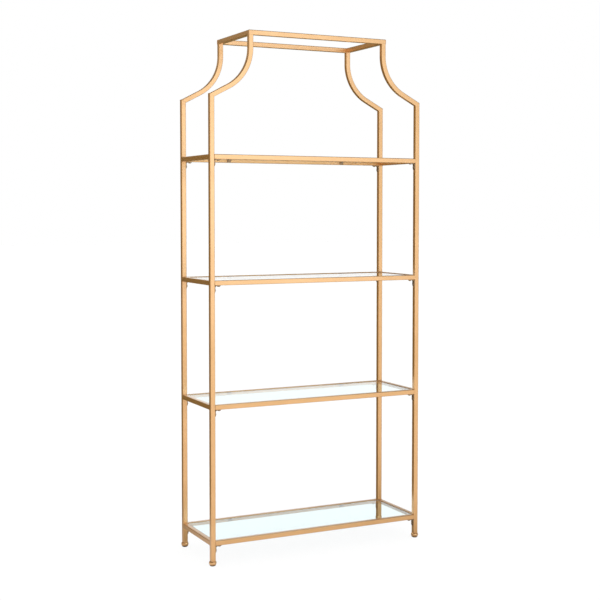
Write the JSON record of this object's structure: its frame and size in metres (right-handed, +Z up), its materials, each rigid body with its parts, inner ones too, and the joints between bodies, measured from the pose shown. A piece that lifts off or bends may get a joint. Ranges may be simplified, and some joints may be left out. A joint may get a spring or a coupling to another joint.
{
  "type": "etagere",
  "caption": "Tall open etagere of satin gold square tube with pagoda shoulders, a narrower crown frame, glass shelves and round levelling feet.",
  "frame": {"origin": "on the floor, in the middle of the four feet's footprint", "axes": "+Z up, +X to the right seen from the front, and the front faces -Y"},
  "size_m": [0.888, 0.308, 1.941],
  "materials": {
    "frame_gold": "satin champagne gold under clear lacquer",
    "bracket_gold": "darker satin gold",
    "foot_gold": "smooth champagne gold",
    "plug_black": "moulded black nylon",
    "clear_glass": "clear tempered glass with ground edges"
  },
  "bodies": {
    "frame": {"post_front_left": "frame_gold", "post_front_right": "frame_gold", "post_back_left": "frame_gold", "post_back_right": "frame_gold", "arm_front_left": "frame_gold", "arm_front_right": "frame_gold", "arm_back_left": "frame_gold", "arm_back_right": "frame_gold", "crown_rail_front": "frame_gold", "crown_rail_back": "frame_gold", "crown_rail_left": "frame_gold", "crown_rail_right": "frame_gold", "bottom_rail_front": "frame_gold", "bottom_rail_back": "frame_gold", "lower_rail_front": "frame_gold", "lower_rail_back": "frame_gold", "upper_rail_front": "frame_gold", "upper_rail_back": "frame_gold", "top_rail_front": "frame_gold", "top_rail_back": "frame_gold", "bottom_rail_left": "frame_gold", "bottom_rail_right": "frame_gold", "lower_rail_left": "frame_gold", "lower_rail_right": "frame_gold", "upper_rail_left": "frame_gold", "upper_rail_right": "frame_gold", "top_rail_left": "frame_gold", "top_rail_right": "frame_gold", "bottom_bracket_front_left": "bracket_gold", "bottom_bracket_front_right": "bracket_gold", "bottom_bracket_back_left": "bracket_gold", "bottom_bracket_back_right": "bracket_gold", "lower_bracket_front_left": "bracket_gold", "lower_bracket_front_right": "bracket_gold", "lower_bracket_back_left": "bracket_gold", "lower_bracket_back_right": "bracket_gold", "upper_bracket_front_left": "bracket_gold", "upper_bracket_front_right": "bracket_gold", "upper_bracket_back_left": "bracket_gold", "upper_bracket_back_right": "bracket_gold", "top_bracket_front_left": "bracket_gold", "top_bracket_front_right": "bracket_gold", "top_bracket_back_left": "bracket_gold", "top_bracket_back_right": "bracket_gold", "foot_plug_front_left": "plug_black", "foot_plug_front_right": "plug_black", "foot_plug_back_left": "plug_black", "foot_plug_back_right": "plug_black"},
    "bottom_pane": {"bottom_glass": "clear_glass"},
    "lower_pane": {"lower_glass": "clear_glass"},
    "upper_pane": {"upper_glass": "clear_glass"},
    "top_pane": {"top_glass": "clear_glass"},
    "leveller_front_left": {"foot_front_left": "foot_gold", "foot_glide_front_left": "plug_black"},
    "leveller_front_right": {"foot_front_right": "foot_gold", "foot_glide_front_right": "plug_black"},
    "leveller_back_left": {"foot_back_left": "foot_gold", "foot_glide_back_left": "plug_black"},
    "leveller_back_right": {"foot_back_right": "foot_gold", "foot_glide_back_right": "plug_black"}
  },
  "joints": [
    {"name": "bottom_pane_lift", "type": "slide", "parent": "frame", "child": "bottom_pane", "axis": [0, 0, 1], "range_m": [0, 0.15]},
    {"name": "lower_pane_lift", "type": "slide", "parent": "frame", "child": "lower_pane", "axis": [0, 0, 1], "range_m": [0, 0.15]},
    {"name": "upper_pane_lift", "type": "slide", "parent": "frame", "child": "upper_pane", "axis": [0, 0, 1], "range_m": [0, 0.15]},
    {"name": "top_pane_lift", "type": "slide", "parent": "frame", "child": "top_pane", "axis": [0, 0, 1], "range_m": [0, 0.15]},
    {"name": "leveller_front_left_screw", "type": "slide", "parent": "frame", "child": "leveller_front_left", "axis": [0, 0, -1], "range_m": [0, 0.01]},
    {"name": "leveller_front_right_screw", "type": "slide", "parent": "frame", "child": "leveller_front_right", "axis": [0, 0, -1], "range_m": [0, 0.01]},
    {"name": "leveller_back_left_screw", "type": "slide", "parent": "frame", "child": "leveller_back_left", "axis": [0, 0, -1], "range_m": [0, 0.01]},
    {"name": "leveller_back_right_screw", "type": "slide", "parent": "frame", "child": "leveller_back_right", "axis": [0, 0, -1], "range_m": [0, 0.01]}
  ]
}
